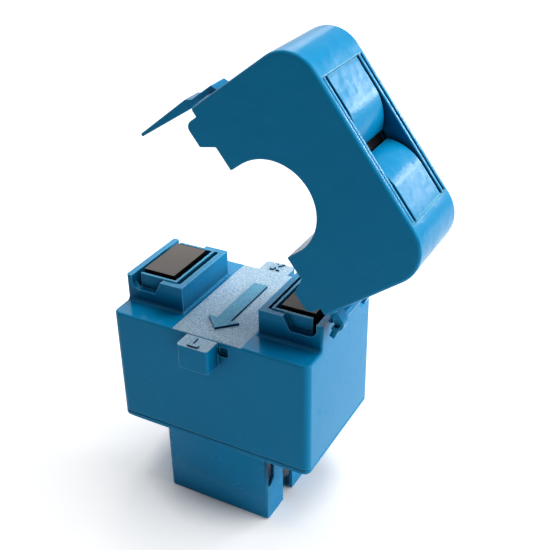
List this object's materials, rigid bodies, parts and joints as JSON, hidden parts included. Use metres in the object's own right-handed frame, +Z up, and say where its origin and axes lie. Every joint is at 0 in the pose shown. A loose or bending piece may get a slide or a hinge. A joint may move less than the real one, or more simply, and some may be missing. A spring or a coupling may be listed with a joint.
{
  "type": "split-core current transformer",
  "caption": "Blue plastic clip-on current transformer with a hinged jaw swung open, showing the core's pole faces and the arrow between them.",
  "frame": {"origin": "in the plane of the foot, under the middle of the block", "axes": "+X along the width towards the hinge, +Y to the back (the arrow points to -Y), +Z up"},
  "size_m": [0.0648, 0.038, 0.1006],
  "materials": {
    "blue_plastic": "smooth satin gloss",
    "core": "ground pole faces",
    "bobbin": "matt",
    "copper": "enamelled wire",
    "terminal_plastic": "matt",
    "clamp_metal": "plain",
    "screw_steel": "zinc plated"
  },
  "bodies": {
    "base": {"base_housing": "blue_plastic", "bottom_cover": "blue_plastic", "lower_core": "core", "bobbin_front_half": "bobbin", "bobbin_back_half": "bobbin", "secondary_winding": "copper", "lead_wire_front": "copper", "lead_wire_back": "copper", "terminal_block": "terminal_plastic", "terminal_clamp_front": "clamp_metal", "terminal_clamp_back": "clamp_metal", "terminal_screw_front": "screw_steel", "terminal_screw_back": "screw_steel"},
    "jaw": {"jaw_housing": "blue_plastic", "upper_core": "core"}
  },
  "joints": [
    {"name": "jaw_hinge", "type": "hinge", "parent": "base", "child": "jaw", "pos_m": [0.0251, 0, 0.04986], "axis": [0, 1, 0], "range_deg": [-53.2, 0]}
  ]
}
